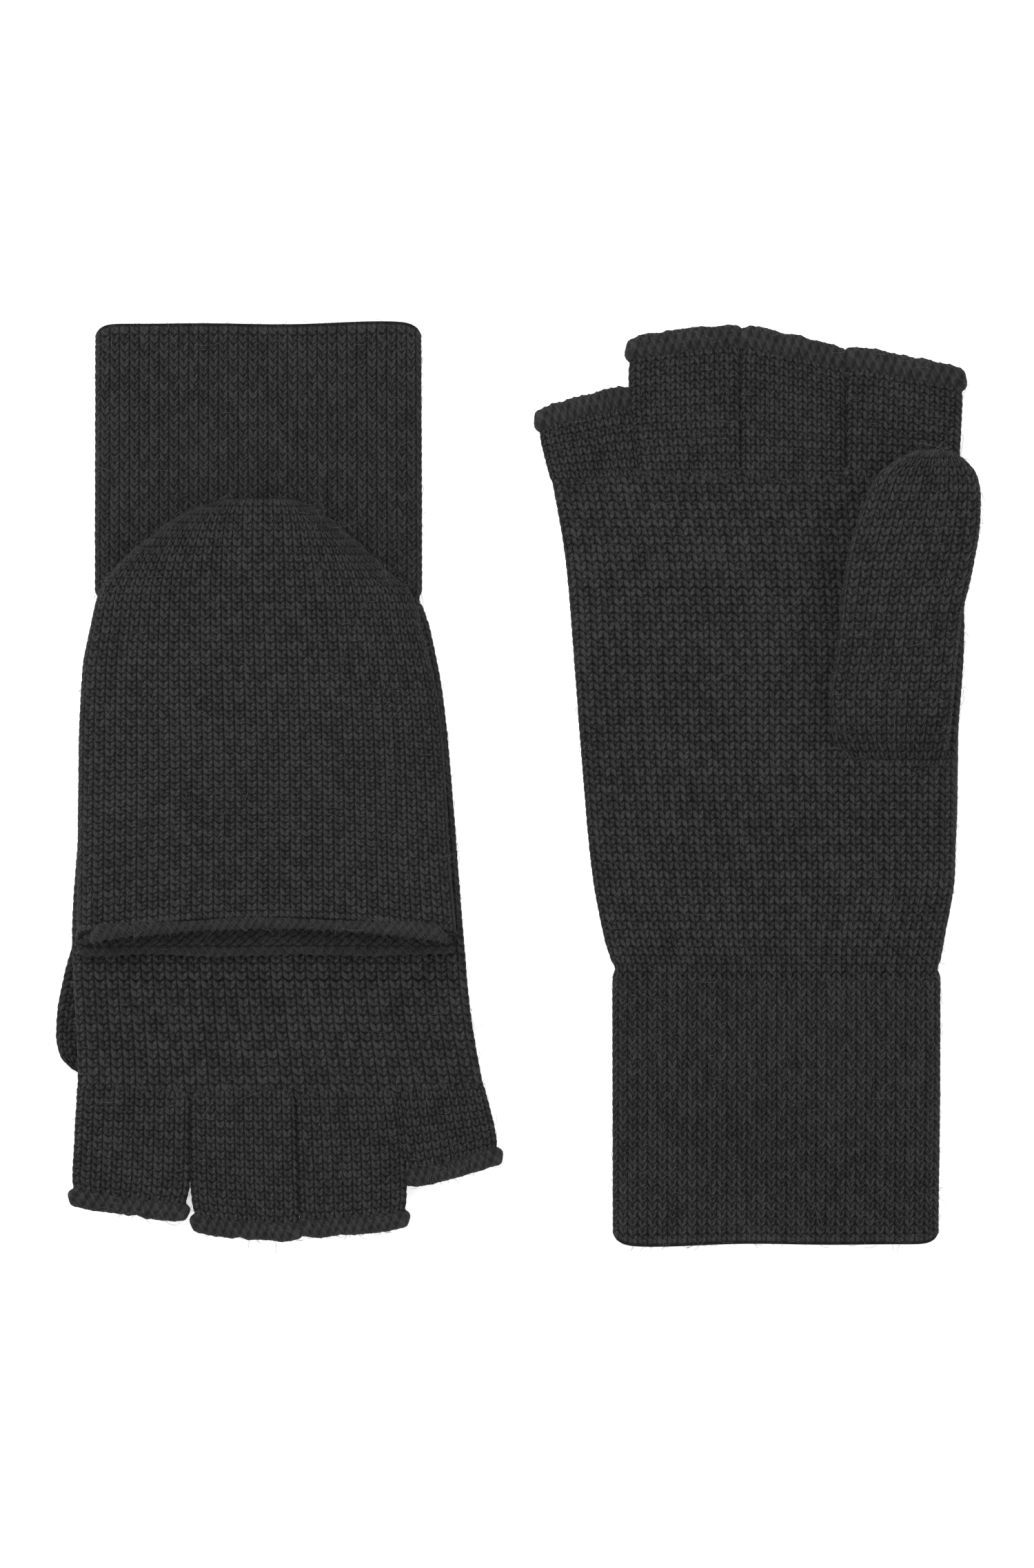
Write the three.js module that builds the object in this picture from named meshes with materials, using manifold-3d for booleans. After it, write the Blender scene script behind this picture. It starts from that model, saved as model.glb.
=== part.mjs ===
// Convertible flip-top mittens: a pair of charcoal wool gloves with open fingertips, each with a mitten cap
// that flips over the fingers. Millimetres, +Z up, origin at the middle of the pair's underside. The left
// glove lies back up with its fingers towards -Y, the right glove palm up with its fingers towards +Y, and
// both caps are folded back towards the cuffs.
//
// Each glove is drawn flat in its own coordinates: u across, towards the thumb; v along, from the cuff's edge
// to the fingertips; w through, from the palm's outer face to the back of the hand and on to the cap. layLeft
// and layRight then lay the glove on the table.
import * as THREE from 'three';
import { mergeVertices } from 'three/addons/utils/BufferGeometryUtils.js';
import Module from 'manifold-3d';

const wasm = await Module();
wasm.setup();

const fabric = 1.4; // one layer of knitting
const room = 5.0; // clear height inside a tube
const tube = room + 2 * fabric;
const fold = tube / 2; // radius of a tube's side folds
const gap = 0.3; // clearance between neighbouring pieces
const cuffLength = 69;
const crotchAt = 196; // where the hand divides into fingers
const hingeAt = 158.5; // the cap's seam across the knuckles
const crownAt = 44.5; // the folded cap's far end
const capGap = 1.0; // between the back of the hand and the cap
const capAtCrown = 7.8; // the cap's thickness at its crown and at its mouth
const capAtMouth = 10.8;
const seamWidth = 2.4;
const seamEnds = [-49.4, 46.4];
const hemRadius = 1.7;
const hemEnds = { low: -47.6, high: 44.6, at: 155.2 };
const mouth = { middle: -1.5, half: 48, at: 155.4, dip: 3.6 }; // the arch of the cap's mouth
const thumbFrom = 124;
const thumbTo = 201;
const flatThumb = 4.2; // the left thumb is pressed flat under the palm
const foldedShort = 0.87; // and pushed back towards its root
const slit = { from: 15, to: 44, width: 2.4, before: 0.8 }; // in the palm, just before the thumb's root
const droopFrom = 160; // the right fingers droop from here down to the table
const droopTo = 222;
const tipsHigh = 1.4;
const edgeHeight = 4.5; // each fingertip's rolled edge
const edgeBulge = 0.7;
const leftRoll = THREE.MathUtils.degToRad(4); // the left hand leans on its folded thumb
const leftLift = 0.8;
const littleSide = -61.7; // the left hand rolls about this line
const across = 65.5; // each glove's middle line lies this far to its side of the pair's middle
const halfLength = 116.7;

const half = 20; // half-width of every section before it is spread to its real width
const flat = half - fold;
const smooth = (x) => THREE.MathUtils.smoothstep(x, 0, 1);

// a height or an edge that runs straight between a few [v, value] points
function through(points) {
  return (v) => {
    const at = Math.max(1, points.findIndex(([end]) => v <= end));
    const [last, value] = points.at(-1);
    if (v >= last) return value;
    const [a, b] = [points[at - 1], points[at]];
    return THREE.MathUtils.mapLinear(Math.max(v, a[0]), a[0], b[0], a[1], b[1]);
  };
}

const littleEdge = through([[0, -41.3], [69, -41.5], [78, -43.8], [95, -46.9], [121, -49.3], [156, -52],
  [173, -53.5], [191, -56.5], [204, -59.4], [212, -60.6]]);
const thumbEdge = through([[0, 41.3], [69, 41.4], [78, 42.7], [95, 45.3], [121, 45.6], [156, 47.6],
  [190, 46.2], [221, 46.9]]);
const capLittle = through([[44.5, -9], [48.4, -16.5], [53.2, -22.6], [63.7, -34.2], [68.6, -39.1],
  [77, -41.4], [97.6, -45.5], [114, -46.7], [138, -47.9], [157, -49.6]]);
const capThumb = through([[44.5, 8], [48.4, 19], [53.2, 26], [60.2, 34.5], [68.6, 40.5], [77, 42.6],
  [88, 44.8], [112, 46.2], [157, 46.6]]);
const thumbLeft = through([[124, 15.9], [129, 13.6], [139, 12.9], [150, 14.6], [171, 16.8], [183, 19.9],
  [194, 24.8], [199, 31], [201, 35]]);
const thumbRight = through([[124, 44.8], [139, 46], [158, 47.5], [171, 49.5], [183, 51.3], [189, 51.5],
  [194, 50.7], [199, 46.8], [201, 43]]);
const thumbTip = through([[189, 1], [196, 0.9], [199.5, 0.7], [201, 0.45]]);
const thumbRise = through([[124, 0.4], [160, 2.8], [201, 2.3]]); // the folded thumb over the palm
const crownTip = through([[44.5, 0.5], [45.8, 0.7], [48.4, 0.88], [53.2, 1]]);

const capThickness = (v) => THREE.MathUtils.mapLinear(v, crownAt, hingeAt, capAtCrown, capAtMouth);

// the underside of the right hand: cuff on the table, hand on the folded cap, fingers drooping to the table
function rightUnderside(v) {
  const onCap = capGap + capThickness(THREE.MathUtils.clamp(v, 42, hingeAt));
  if (v < 42) return onCap * smooth((v - 4) / 38);
  return THREE.MathUtils.lerp(onCap, tipsHigh, smooth((v - droopFrom) / (droopTo - droopFrom)));
}

function layLeft(u, v, w) {
  const share = smooth((v - 55) / 63);
  const roll = leftRoll * share;
  const side = littleSide + (u - littleSide) * Math.cos(roll) - w * Math.sin(roll);
  const up = leftLift * share + (u - littleSide) * Math.sin(roll) + w * Math.cos(roll);
  return [-across - side, halfLength - v, up];
}

const layRight = (u, v, w) => [across + u, v - halfLength, rightUnderside(v) + tube - w];
const layLeftThumb = (u, v, w) => [-across - u, halfLength - thumbFrom - (v - thumbFrom) * foldedShort, w];

// a section's x, between -half and half, spread between two edges without stretching its rounded ends
function spread(x, low, high) {
  if (x > flat) return high - (half - x);
  if (x < -flat) return low + (half + x);
  return THREE.MathUtils.mapLinear(x, -flat, flat, low + fold, high - fold);
}

const arc = (x, radius, from, to, steps = 4) => Array.from({ length: steps + 1 }, (_, i) => {
  const a = THREE.MathUtils.degToRad(THREE.MathUtils.lerp(from, to, i / steps));
  return new THREE.Vector2(x + radius * Math.cos(a), fold + radius * Math.sin(a));
});
const rounded = (radius) => new THREE.Shape([...arc(flat, radius, -90, 90), ...arc(-flat, radius, 90, 270)]);

function ringSection() {
  const shape = rounded(fold);
  shape.holes.push(rounded(fold - fabric));
  return shape;
}

// the lower half of a ring, or its upper half
function halfSection(upper) {
  const points = [...arc(-flat, fold, 180, 270), ...arc(flat, fold, 270, 360),
    ...arc(flat, fold - fabric, 360, 270), ...arc(-flat, fold - fabric, 270, 180)];
  for (const p of points) {
    p.y = Math.min(p.y, fold - gap / 2);
    if (upper) p.y = tube - p.y;
  }
  return new THREE.Shape(points);
}

// an arch: straight sides from the floor and rounded upper corners
const archSection = (radius, floor) => new THREE.Shape([new THREE.Vector2(-flat - radius, floor),
  new THREE.Vector2(flat + radius, floor), ...arc(flat, radius, 0, 90), ...arc(-flat, radius, 90, 180)]);

function moved(geometry, change) {
  geometry.deleteAttribute('normal');
  geometry.deleteAttribute('uv');
  const points = geometry.attributes.position;
  for (let i = 0; i < points.count; i++) {
    points.setXYZ(i, ...change(points.getX(i), points.getY(i), points.getZ(i)));
  }
  return mergeVertices(geometry, 1e-4);
}

// a section carried along the stations, each point placed by place(x, v, y)
function loft(section, stations, place) {
  const steps = stations.length - 1;
  const bar = new THREE.ExtrudeGeometry(section, { depth: steps, steps, bevelEnabled: false });
  return facingOut(moved(bar, (x, y, z) => place(x, stations[Math.round(z)], y)));
}

function facingOut(geometry) {
  const [a, b, c] = [new THREE.Vector3(), new THREE.Vector3(), new THREE.Vector3()];
  const index = geometry.index.array;
  let volume = 0;
  for (let i = 0; i < index.length; i += 3) {
    [a, b, c].forEach((p, k) => p.fromBufferAttribute(geometry.attributes.position, index[i + k]));
    volume += a.dot(b.cross(c));
  }
  if (volume < 0) {
    for (let i = 0; i < index.length; i += 3) [index[i], index[i + 1]] = [index[i + 1], index[i]];
  }
  return geometry;
}

const solid = ({ attributes, index }) => new wasm.Manifold(new wasm.Mesh({
  numProp: 3,
  vertProperties: new Float32Array(attributes.position.array),
  triVerts: new Uint32Array(index.array),
}));

function cut(body, ...tools) {
  const rest = tools.reduce((left, tool) => left.subtract(solid(tool)), solid(body));
  const { vertProperties, triVerts } = rest.getMesh();
  const geometry = new THREE.BufferGeometry();
  geometry.setAttribute('position', new THREE.BufferAttribute(vertProperties, 3));
  geometry.setIndex(new THREE.BufferAttribute(triVerts, 1));
  return geometry;
}

function box(low, high) {
  const size = high.map((end, k) => end - low[k]);
  const block = new THREE.BoxGeometry(...size).translate(...low.map((start, k) => start + size[k] / 2));
  return moved(block, (x, y, z) => [x, y, z]);
}

const evenly = (from, to, steps) =>
  Array.from({ length: steps + 1 }, (_, i) => from + (to - from) * i / steps);

const cuff = (lay) => loft(ringSection(), evenly(0, cuffLength, 12),
  (x, v, y) => lay(spread(x, littleEdge(v), thumbEdge(v)), v, y));

const hand = (upper, lay) => loft(halfSection(upper), evenly(cuffLength + gap, crotchAt, 14),
  (x, v, y) => lay(spread(x, littleEdge(v), thumbEdge(v)), v, y));

// the palm has the slit that the thumb's tube grows from, closed to a crease while the thumb is folded
function palm(lay) {
  const far = thumbFrom - slit.before;
  const opening = box([slit.from, far - slit.width, -1], [slit.to, far, fabric + 1]);
  return cut(hand(false, lay), facingOut(moved(opening, lay)));
}

// a finger's tube stops short of its slanted end by the height of its rolled edge
function finger({ low, high, ends }, lay) {
  const from = crotchAt + gap;
  const end = (u) => THREE.MathUtils.mapLinear(u, low[1], high[1], ends[0], ends[1]) - edgeHeight - gap;
  return loft(ringSection(), evenly(0, 1, 6), (x, share, y) => {
    const near = spread(x, low[0], high[0]);
    const far = spread(x, low[1] + edgeBulge + gap, high[1] - edgeBulge - gap);
    return lay(THREE.MathUtils.lerp(near, far, share), THREE.MathUtils.lerp(from, end(far), share), y);
  });
}

// a fingertip's rolled edge: a ring bent round the end of the tube, proud of it by edgeBulge
function fingerEdge({ low, high, ends }, lay) {
  const around = [...arc(flat, fold, -90, 90), ...arc(-flat, fold, 90, 270)];
  const lanes = [0, 1 / 3, 2 / 3].map((share) => THREE.MathUtils.lerp(flat, -flat, share));
  const path = [...around.slice(0, 4), ...lanes.map((x) => new THREE.Vector2(x, tube)),
    ...around.slice(5, 9), ...lanes.map((x) => new THREE.Vector2(-x, 0))];
  const depth = (fabric + edgeBulge) / 2;
  const ring = new THREE.TorusGeometry(10, 1, 6, path.length);
  return facingOut(moved(ring, (x, y, z) => {
    const turn = Math.atan2(y, x) / (2 * Math.PI);
    const at = path[(Math.round(turn * path.length) + path.length) % path.length];
    const centre = new THREE.Vector2(THREE.MathUtils.clamp(at.x, -flat, flat), fold);
    const outward = at.clone().sub(centre).normalize();
    const shift = (edgeBulge - fabric) / 2 + (Math.hypot(x, y) - 10) * depth;
    const u = spread(at.x, low[1] + edgeBulge + gap / 2, high[1] - edgeBulge - gap / 2) + outward.x * shift;
    const end = THREE.MathUtils.mapLinear(u, low[1], high[1], ends[0], ends[1]);
    return lay(u, end - edgeHeight / 2 + z * edgeHeight / 2, at.y + outward.y * shift);
  }));
}

// the thumb is a closed tube, open only at its base
function thumb(height, lay) {
  const tip = fabric + 0.4; // how far the hollow stays inside the tip
  const outer = [...evenly(thumbFrom, 189, 8), 192.5, 196, 199.5, thumbTo];
  const inner = [thumbFrom - 2, ...evenly(130, 187, 6), 191, 195, 197.5, thumbTo - tip];
  const skin = loft(rounded(fold), outer, (x, v, y) => {
    const up = (y - fold) * height / tube * thumbTip(v);
    return lay(spread(x, thumbLeft(v), thumbRight(v)), v, height / 2 + up);
  });
  const inside = loft(rounded(fold - fabric), inner, (x, v, y) => {
    const up = (y - fold) * (height - 2 * fabric) / room * thumbTip(v + tip);
    return lay(spread(x, thumbLeft(v + tip), thumbRight(v + tip)), v, height / 2 + up);
  });
  return cut(skin, inside);
}

// heights in the cap are counted from its back layer's outer face; the arch's corners keep their radius while
// its sides stretch to the cap's thickness
function capHeight(v, y, base) {
  const share = crownTip(v);
  const extra = capThickness(v) - capAtCrown;
  const raised = y >= fold ? y + extra : base + (y - base) * (1 + extra / (fold - base));
  return tube + capGap + base + (raised - base) * share;
}

const capStations = [44.5, 45.8, 48.4, 53.2, 58.4, 63.7, 68.6, 77, 88, 100, 112, 124, 136, 147];
const mouthAt = hingeAt - seamWidth / 2 - gap;
const mouthArch = (u) => mouth.at - mouth.dip * (1 - ((u - mouth.middle) / mouth.half) ** 2);

function capBack(lay) {
  const corners = [[-half, 0], [half, 0], [half, fabric], [-half, fabric]];
  const section = new THREE.Shape(corners.map(([x, y]) => new THREE.Vector2(x, y)));
  return loft(section, [...capStations, mouthAt],
    (x, v, y) => lay(spread(x, capLittle(v), capThumb(v)), v, tube + capGap + y));
}

function capPalm(lay) {
  const base = fabric + gap;
  const inset = fabric + 0.2;
  const skin = loft(archSection(fold, base), [...capStations, mouthAt],
    (x, v, y) => lay(spread(x, capLittle(v), capThumb(v)), v, capHeight(v, y, base)));
  const inside = loft(archSection(fold - fabric, 0), [...capStations.map((v) => v + inset), mouthAt + 3],
    (x, v, y) => lay(spread(x, capLittle(v - inset), capThumb(v - inset)), v, capHeight(v - inset, y, 0)));
  const side = 60; // well beyond the cap on every side
  const arch = evenly(-side, side, 12).map((u) => new THREE.Vector2(u, mouthArch(u) - hemRadius - gap));
  const far = mouthAt + 10;
  const beyond = new THREE.Shape([...arch, new THREE.Vector2(side, far), new THREE.Vector2(-side, far)]);
  const cutter = new THREE.ExtrudeGeometry(beyond, { depth: 30, steps: 1, bevelEnabled: false });
  return cut(skin, inside, facingOut(moved(cutter, (x, y, z) => lay(x, y, z + tube))));
}

const oval = (a, b) => new THREE.Shape(new THREE.EllipseCurve(0, 0, a, b).getPoints(8).slice(0, 8));

// the hem's rolled rope follows the mouth from one end of the seam to the other
function capHem(lay) {
  const rope = (u) => {
    const v = mouthArch(u);
    return new THREE.Vector3(u, v, tube + capGap + capThickness(v) - hemRadius);
  };
  const low = tube + capGap + fabric + gap + hemRadius;
  const [first, last] = [hemEnds.low, hemEnds.high].map((u) => new THREE.Vector3(u, hemEnds.at, low));
  const bend = 4.1; // from each end up to the rope's full height
  const points = [first, ...evenly(hemEnds.low + bend, hemEnds.high - bend, 8).map(rope), last];
  const path = new THREE.CatmullRomCurve3(points, false, 'centripetal');
  const section = oval(hemRadius, hemRadius);
  const bar = new THREE.ExtrudeGeometry(section, { steps: 22, extrudePath: path, bevelEnabled: false });
  return facingOut(moved(bar, (u, v, w) => lay(u, v, Math.min(w, tube + capGap + capThickness(v)))));
}

function capSeam(lay) {
  const high = capGap + fabric - gap;
  const section = oval(seamWidth / 2, high / 2);
  const bar = new THREE.ExtrudeGeometry(section, { depth: 1, steps: 1, bevelEnabled: false });
  return facingOut(moved(bar,
    (x, y, z) => lay(THREE.MathUtils.lerp(...seamEnds, z), hingeAt + x, tube + gap + high / 2 + y)));
}

// each finger's side edges at the crotch and at the tip, and its end at those two edges
const leftFingers = {
  index: { low: [17.8, 19.6], high: [46.0, 48.0], ends: [227.6, 223.4] },
  middle: { low: [-8.8, -10.0], high: [17.4, 16.0], ends: [232.6, 230.6] },
  ring: { low: [-33.9, -36.6], high: [-9.2, -10.4], ends: [229.4, 231.6] },
  little: { low: [-57.4, -61.0], high: [-34.3, -37.0], ends: [213.0, 219.4] },
};
const rightFingers = {
  index: { low: [17.8, 18.2], high: [46.0, 47.8], ends: [227.8, 222.4] },
  middle: { low: [-8.8, -8.8], high: [17.4, 17.8], ends: [233.2, 227.4] },
  ring: { low: [-33.9, -36.8], high: [-9.2, -9.2], ends: [230.2, 233.4] },
  little: { low: [-57.4, -61.0], high: [-34.3, -37.2], ends: [211.6, 218.0] },
};

const wool = new THREE.MeshStandardMaterial({ color: 0x2e2e2e, roughness: 0.95, metalness: 0 });
const purlSide = new THREE.MeshStandardMaterial({ color: 0x292929, roughness: 0.97, metalness: 0 });
const rope = new THREE.MeshStandardMaterial({ color: 0x333333, roughness: 0.93, metalness: 0 });

function glove(side, lay, fingers, thumbShape) {
  const group = new THREE.Group();
  const add = (name, geometry, material) => {
    const mesh = new THREE.Mesh(geometry, material);
    mesh.name = `${side}_${name}`;
    group.add(mesh);
  };
  add('cuff', cuff(lay), wool);
  add('hand_palm', palm(lay), wool);
  add('hand_back', hand(true, lay), wool);
  add('thumb', thumbShape, wool);
  for (const [name, shape] of Object.entries(fingers)) {
    add(`${name}_finger`, finger(shape, lay), wool);
    add(`${name}_edge`, fingerEdge(shape, lay), purlSide);
  }
  add('cap_seam', capSeam(lay), rope);
  add('cap_back', capBack(lay), purlSide);
  add('cap_palm', capPalm(lay), wool);
  add('cap_hem', capHem(lay), rope);
  return group;
}

const group = new THREE.Group();
group.add(glove('left', layLeft, leftFingers, thumb(flatThumb, layLeftThumb)));
group.add(glove('right', layRight, rightFingers,
  thumb(tube, (u, v, w) => layRight(u, v, -gap - thumbRise(v) - w))));

export default group;
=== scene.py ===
from math import radians

import bmesh
import bpy
import numpy as np
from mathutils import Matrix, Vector


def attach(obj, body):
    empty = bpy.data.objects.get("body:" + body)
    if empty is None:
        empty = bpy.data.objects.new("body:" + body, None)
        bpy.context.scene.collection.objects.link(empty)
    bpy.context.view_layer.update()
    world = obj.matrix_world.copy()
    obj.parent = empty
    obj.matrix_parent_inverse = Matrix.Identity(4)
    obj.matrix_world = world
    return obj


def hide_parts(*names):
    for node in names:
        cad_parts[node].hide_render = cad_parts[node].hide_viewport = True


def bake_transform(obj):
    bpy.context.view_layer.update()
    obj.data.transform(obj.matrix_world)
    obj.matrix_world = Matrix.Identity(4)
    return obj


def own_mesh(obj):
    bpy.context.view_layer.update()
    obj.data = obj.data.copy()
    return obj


# A pair of flip-top mittens in charcoal wool, laid flat. Lengths are in millimetres and become metres when a
# mesh is made. u runs across a glove towards its thumb, v from the cuff's edge to the fingertips, and w from
# the palm's outer face through to the back of the hand and the cap.

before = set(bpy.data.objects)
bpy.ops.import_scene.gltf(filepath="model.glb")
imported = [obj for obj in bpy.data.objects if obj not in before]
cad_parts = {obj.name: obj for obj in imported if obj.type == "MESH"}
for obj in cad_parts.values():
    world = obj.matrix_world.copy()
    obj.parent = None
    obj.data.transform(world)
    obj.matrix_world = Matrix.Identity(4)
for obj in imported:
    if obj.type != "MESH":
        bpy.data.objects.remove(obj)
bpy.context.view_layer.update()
millimetre = 0.001

glove = {
    "tube": 7.8,  # outer thickness of a flattened tube
    "foldShare": 0.37,  # radius of its side folds, as a share of its thickness
    "tightest": 0.15,  # least radius of a fold's inner face
    "domePower": 4,  # the higher, the flatter a tube's top between its folds
    "across": 65.5,  # each glove's middle line from the middle of the pair
    "halfLength": 116.7,
    "thumbFrom": 124,
    "seamAt": 158.5,
    "crotchAt": 196,
    "crownAt": 44.5,
    "crownThick": 7.8,
    "mouthThick": 10.8,
    "capMiddle": -1.5,
    "capGap": 1.0,  # between the back of the hand and the folded cap
    "leftRoll": radians(4),  # the left hand leans on the thumb folded under it
    "rollFrom": 55,
    "rollOver": 63,
    "leftLift": 0.8,
    "littleSide": -61.7,
    "foldedShort": 0.87,  # the left thumb's length under the palm, as a share of its full length
    "offTable": 0.05,  # nothing lies lower than this
    "stitchHeight": 0.55,  # how far a stitch stands out of the fabric
    "layer": 1.3,  # one layer of knitting, without its stitches
    "skin": 0.35,  # the fabric's face lies this far inside the solid, to leave room for the stitches
}
tube, layer, skin = glove["tube"], glove["layer"], glove["skin"]


def smooth(x):
    x = np.clip(x, 0, 1)
    return x * x * (3 - 2 * x)


def mix(a, b, share):
    return a + (b - a) * share


# a line that runs smoothly through a few (v, value) points and doesn't overshoot them
def through(*points):
    at, value = np.array(points, float).T
    step = np.diff(value) / np.diff(at)
    before, after = step[:-1], step[1:]
    total = np.where(before + after == 0, 1, before + after)
    slope = np.concatenate([step[:1], np.where(before * after > 0, 2 * before * after / total, 0), step[-1:]])

    def line(v):
        v = np.clip(v, at[0], at[-1])
        i = np.clip(np.searchsorted(at, v, side="right") - 1, 0, len(at) - 2)
        width = at[i + 1] - at[i]
        s = (v - at[i]) / width
        ends = value[i] * (1 + 2 * s) * (1 - s) ** 2 + value[i + 1] * s * s * (3 - 2 * s)
        return ends + width * s * (1 - s) * (slope[i] * (1 - s) - slope[i + 1] * s)

    return line


# the outlines of the hand, the folded cap and the folded thumb: u at a few places v
littleEdge = through((0, -41.3), (62, -41.5), (69, -41.5), (78, -43.8), (95, -46.9), (121, -49.3), (156, -52),
                     (173, -53.5), (191, -56.5), (204, -59.4), (212, -60.6))
thumbEdge = through((0, 41.3), (62, 41.4), (69, 41.4), (78, 42.7), (95, 45.3), (121, 45.6), (156, 47.6),
                    (190, 46.2), (221, 46.9))
capLittle = through((44.5, -9), (48.4, -16.5), (53.2, -22.6), (63.7, -34.2), (68.6, -39.1), (77, -41.4),
                    (97.6, -45.5), (114, -46.7), (138, -47.9), (157, -49.6))
capThumb = through((44.5, 8), (48.4, 19), (53.2, 26), (60.2, 34.5), (68.6, 40.5), (77, 42.6), (88, 44.8),
                   (112, 46.2), (157, 46.6))
thumbInner = through((121, 16.6), (124, 15.4), (129, 13.6), (139, 12.9), (150, 14.6), (171, 16.8),
                     (183, 19.9), (194, 24.8), (199, 31), (201, 35))
thumbOuter = through((121, 42.6), (124, 43), (139, 44.6), (158, 46.5), (171, 49.4), (183, 51.3), (189, 51.5),
                     (194, 50.7), (199, 46.8), (201, 43))


def capThickness(v):
    towardsMouth = (v - glove["crownAt"]) / (glove["seamAt"] - glove["crownAt"])
    return mix(glove["crownThick"], glove["mouthThick"], towardsMouth)


mouth = {"corners": 155.0, "arch": 3.9, "half": 48}


# the hem lies along a shallow arch across the cap's mouth
def mouthArch(u):
    return mouth["corners"] - mouth["arch"] * (1 - ((u - glove["capMiddle"]) / mouth["half"]) ** 2)


thinning = {"from": 142, "over": 22, "by": 2.7, "fingersOver": 34, "fingersBy": 0.7}


# the palm thins from the knuckles on, where no hand fills it, so that the fingers fit inside the closed cap
def palmLift(v):
    knuckles = smooth((v - thinning["from"]) / thinning["over"])
    fingersOn = smooth((v - glove["crotchAt"]) / thinning["fingersOver"])
    return thinning["by"] * knuckles + thinning["fingersBy"] * fingersOn


lying = {"riseFrom": 4, "riseTo": 42, "droopFrom": 160, "droopOver": 64, "tipsHigh": 1.4, "curved": 0.6}


# the right glove lies on its own folded cap: its cuff rises on to it and its fingers droop to the table
def rightUnderside(v):
    onCap = glove["capGap"] + capThickness(np.clip(v, lying["riseTo"], glove["seamAt"]))
    ahead = np.clip((v - lying["droopFrom"]) / lying["droopOver"], 0, 1)
    drooping = mix(onCap, lying["tipsHigh"], lying["curved"] * smooth(ahead) + (1 - lying["curved"]) * ahead)
    rising = onCap * smooth((v - lying["riseFrom"]) / (lying["riseTo"] - lying["riseFrom"]))
    return np.where(v < lying["riseTo"], rising, drooping)


def layLeft(u, v, w):
    share = smooth((v - glove["rollFrom"]) / glove["rollOver"])
    roll = glove["leftRoll"] * share
    reach = u - glove["littleSide"]
    side = glove["littleSide"] + reach * np.cos(roll) - w * np.sin(roll)
    up = glove["leftLift"] * share + reach * np.sin(roll) + w * np.cos(roll)
    return np.stack(np.broadcast_arrays(-glove["across"] - side, glove["halfLength"] - v, up), -1)


def layRight(u, v, w):
    up = rightUnderside(v) + tube - w
    return np.stack(np.broadcast_arrays(glove["across"] + u, v - glove["halfLength"], up), -1)


# the left thumb is pushed back towards its root
def layLeftThumb(u, v, w):
    v = glove["thumbFrom"] + (v - glove["thumbFrom"]) * glove["foldedShort"]
    return np.stack(np.broadcast_arrays(-glove["across"] - u, glove["halfLength"] - v, w), -1)


# a slow unevenness between -1 and 1, as knitting laid out by hand has: hills, slanting folds and ripples
def uneven(u, v):
    hills = 0.5 * np.sin(u / 13 + 0.9) * np.sin(v / 17 + 0.4)
    folds = 0.3 * np.sin(u / 7.1 - v / 9.3)
    ripples = 0.2 * np.sin(v / 5.3)
    return hills + folds + ripples


# where a share g of the way round half a flattened tube lies: x across and y above its middle plane
def halfRound(g, half, radius):
    length = 2 * (half - radius) + np.pi * radius
    s = g * length
    quarter = np.pi * radius / 2
    low, high = np.minimum(s, quarter) / radius, np.minimum(length - s, quarter) / radius
    x = np.where(s < quarter, -half + radius * (1 - np.cos(low)), -half + radius + s - quarter)
    x = np.where(s > length - quarter, half - radius * (1 - np.cos(high)), x)
    return x, radius * np.minimum(np.sin(low), np.sin(high))


# a flattened tube: flat under, gently domed on top, round at its side folds. f goes once round it, first over
# the top. Gives u and the height over its underside.
def tubeSection(f, low, high, thick, inset):
    top = f <= 0.5
    g = np.where(top, 2 * f, 2 * (1 - f))
    fold = glove["foldShare"] * thick
    half, radius = (high - low) / 2 - inset, np.maximum(fold - inset, glove["tightest"])
    x, y = halfRound(g, half, radius)
    dome = (thick - 2 * fold) * (1 - np.abs(x / half) ** glove["domePower"]) * y / radius
    return (low + high) / 2 + x, fold + np.where(top, y + dome, -y)


# chevron is how far a stitch's middle lies beyond its sides, in courses, and lean is how far its legs lean,
# in wales. The relief is lowest between wales and, a little less, between a stitch's two legs
knitting = {
    "perWale": 6,  # columns of the mesh in one wale, three to each leg of a stitch
    "phases": (0, 0.26, 0.72),  # where the rows of the mesh lie within one course
    "plain": {"columns": (0.14, 0.30), "rows": (0.12, 1.0, 0.9), "chevron": 0.66, "lean": 0.15},
    "rib": {"columns": (0.16, 0.46), "rows": (0.12, 1.0, 0.85), "chevron": 1.0, "lean": 0.14},
    "unevenness": 0.22,
    "aside": 0.12,  # how far an uneven stitch moves across, in wales
    "shift": 0.3,  # and along, in courses
    "reliefTop": 1.3,
    "purlDepth": 0.45,
    "lipHeight": 0.35,  # height of the stitches round an open end, as a share
    "foldHeight": 0.35,  # and on a side fold
    "foldWidth": 0.3,
    "settling": 1.5,  # courses over which stitches flatten towards an end
    "tuck": {"depth": 1.4, "start": 1.1, "end": 1.2},  # an end sinks under its neighbour over so many courses
    "crease": {"depth": 0.7, "width": 1.3},
    "insideRows": 12,
    "insideFrom": 1.2,  # courses from a closed tip to where its inside begins
    "stepRound": 0.15,  # in wales: how far apart the surface is felt for its slope
    "stepAlong": 0.3,
    "weld": 1e-6,
}


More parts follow.
